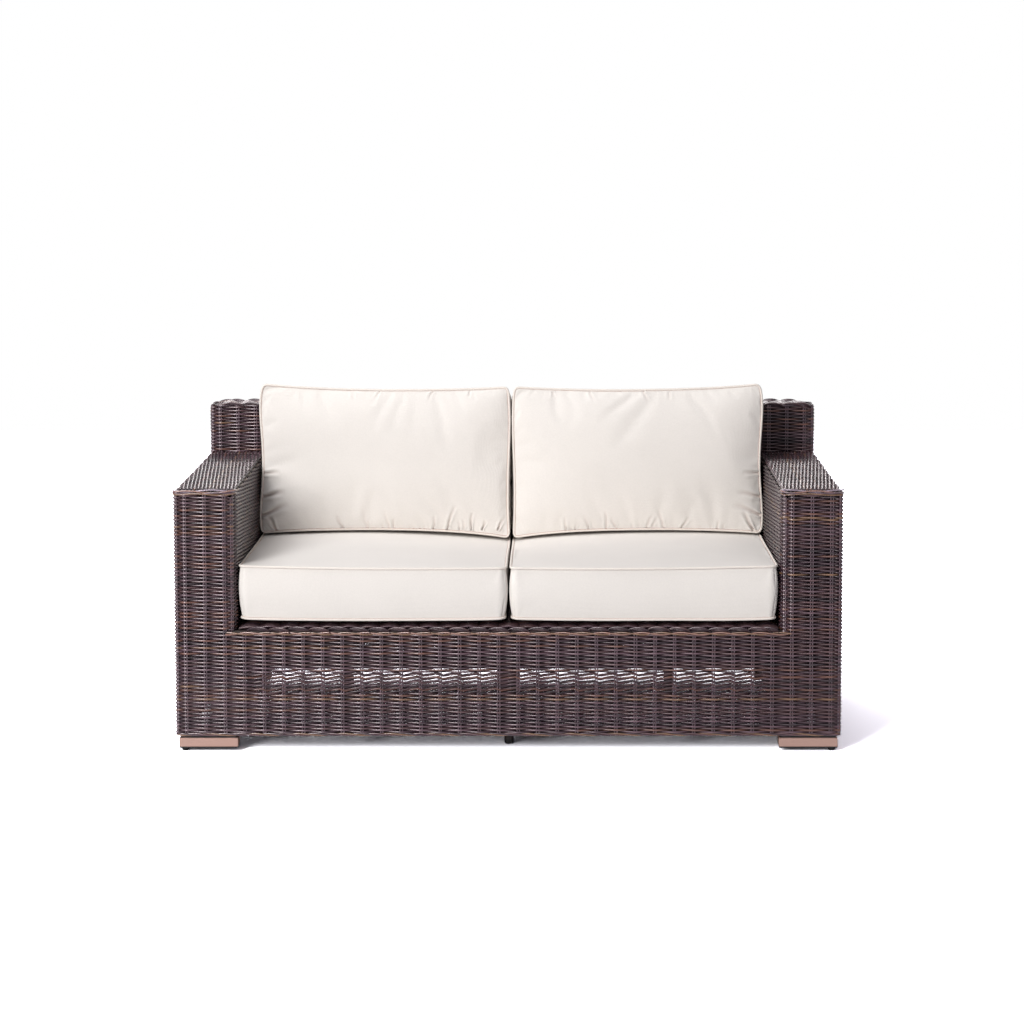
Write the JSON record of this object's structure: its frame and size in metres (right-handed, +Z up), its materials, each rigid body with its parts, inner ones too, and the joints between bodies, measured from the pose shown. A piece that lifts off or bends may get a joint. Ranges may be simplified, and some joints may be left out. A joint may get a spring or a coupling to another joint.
{
  "type": "patio loveseat",
  "caption": "Woven outdoor loveseat with box arms, a raised back, loose welted seat and back cushions, and block feet with levelling glides.",
  "frame": {"origin": "on the floor under the middle of the seat", "axes": "+X to the right seen from the front, +Y from the front to the back, +Z up"},
  "size_m": [1.7, 0.9018, 0.8695],
  "materials": {
    "wicker": "woven round resin strand, dark brown with paler and darker strands",
    "frame": "dark brown powder coat",
    "foot_metal": "satin rose-brown metal",
    "black_plastic": "matt black moulded plastic",
    "fastener_steel": "zinc-plated steel",
    "cover_fabric": "cream outdoor canvas",
    "welt_fabric": "cream canvas cut on the bias over a cord",
    "foam": "foam with a fibre wrap",
    "zip": "cream coil zip on woven tape",
    "zip_slider": "plated slider"
  },
  "bodies": {
    "frame": {"apron_posts": "frame", "back_posts": "frame", "back_rails": "frame", "back_ties": "frame", "back_weave": "wicker", "base_border": "wicker", "base_cross_bars": "frame", "base_rails": "frame", "foot_pads": "black_plastic", "foot_screws": "fastener_steel", "foot_spacers": "black_plastic", "frame_inserts": "fastener_steel", "front_apron_weave": "wicker", "front_left_foot": "foot_metal", "front_right_foot": "foot_metal", "glide_nuts": "fastener_steel", "left_arm_frame": "frame", "left_arm_weave": "wicker", "middle_glide": "black_plastic", "middle_leg": "frame", "rear_left_foot": "foot_metal", "rear_right_foot": "foot_metal", "right_arm_frame": "frame", "right_arm_weave": "wicker", "seat_cross_bars": "frame", "seat_deck_weave": "wicker", "seat_front_roll": "wicker", "seat_rails": "frame"},
    "back_cushion_left": {"back_cushion_left_core": "foam", "back_cushion_left_cover": "cover_fabric", "back_cushion_left_welts": "welt_fabric", "back_cushion_left_zip": "zip"},
    "back_cushion_left_zip_slider": {"back_cushion_left_zip_slider": "zip_slider"},
    "back_cushion_right": {"back_cushion_right_core": "foam", "back_cushion_right_cover": "cover_fabric", "back_cushion_right_welts": "welt_fabric", "back_cushion_right_zip": "zip"},
    "back_cushion_right_zip_slider": {"back_cushion_right_zip_slider": "zip_slider"},
    "front_left_glide": {"front_left_glide": "black_plastic"},
    "front_right_glide": {"front_right_glide": "black_plastic"},
    "rear_left_glide": {"rear_left_glide": "black_plastic"},
    "rear_right_glide": {"rear_right_glide": "black_plastic"},
    "seat_cushion_left": {"seat_cushion_left_core": "foam", "seat_cushion_left_cover": "cover_fabric", "seat_cushion_left_welts": "welt_fabric", "seat_cushion_left_zip": "zip"},
    "seat_cushion_left_zip_slider": {"seat_cushion_left_zip_slider": "zip_slider"},
    "seat_cushion_right": {"seat_cushion_right_core": "foam", "seat_cushion_right_cover": "cover_fabric", "seat_cushion_right_welts": "welt_fabric", "seat_cushion_right_zip": "zip"},
    "seat_cushion_right_zip_slider": {"seat_cushion_right_zip_slider": "zip_slider"}
  },
  "joints": [
    {"name": "seat_cushion_left_lift", "type": "slide", "parent": "frame", "child": "seat_cushion_left", "axis": [0, 0, 1], "range_m": [0, 0.5]},
    {"name": "back_cushion_left_lift", "type": "slide", "parent": "seat_cushion_left", "child": "back_cushion_left", "axis": [0, 0, 1], "range_m": [0, 0.36]},
    {"name": "seat_cushion_left_zip_run", "type": "slide", "parent": "seat_cushion_left", "child": "seat_cushion_left_zip_slider", "axis": [-1, 0, 0], "range_m": [0, 0.52]},
    {"name": "back_cushion_left_zip_run", "type": "slide", "parent": "back_cushion_left", "child": "back_cushion_left_zip_slider", "axis": [1, 0, 0], "range_m": [0, 0.52]},
    {"name": "seat_cushion_right_lift", "type": "slide", "parent": "frame", "child": "seat_cushion_right", "axis": [0, 0, 1], "range_m": [0, 0.5]},
    {"name": "back_cushion_right_lift", "type": "slide", "parent": "seat_cushion_right", "child": "back_cushion_right", "axis": [0, 0, 1], "range_m": [0, 0.36]},
    {"name": "seat_cushion_right_zip_run", "type": "slide", "parent": "seat_cushion_right", "child": "seat_cushion_right_zip_slider", "axis": [-1, 0, 0], "range_m": [0, 0.52]},
    {"name": "back_cushion_right_zip_run", "type": "slide", "parent": "back_cushion_right", "child": "back_cushion_right_zip_slider", "axis": [1, 0, 0], "range_m": [0, 0.52]},
    {"name": "front_left_glide_screw", "type": "slide", "parent": "frame", "child": "front_left_glide", "axis": [0, 0, -1], "range_m": [0, 0.008]},
    {"name": "front_right_glide_screw", "type": "slide", "parent": "frame", "child": "front_right_glide", "axis": [0, 0, -1], "range_m": [0, 0.008]},
    {"name": "rear_left_glide_screw", "type": "slide", "parent": "frame", "child": "rear_left_glide", "axis": [0, 0, -1], "range_m": [0, 0.008]},
    {"name": "rear_right_glide_screw", "type": "slide", "parent": "frame", "child": "rear_right_glide", "axis": [0, 0, -1], "range_m": [0, 0.008]}
  ]
}
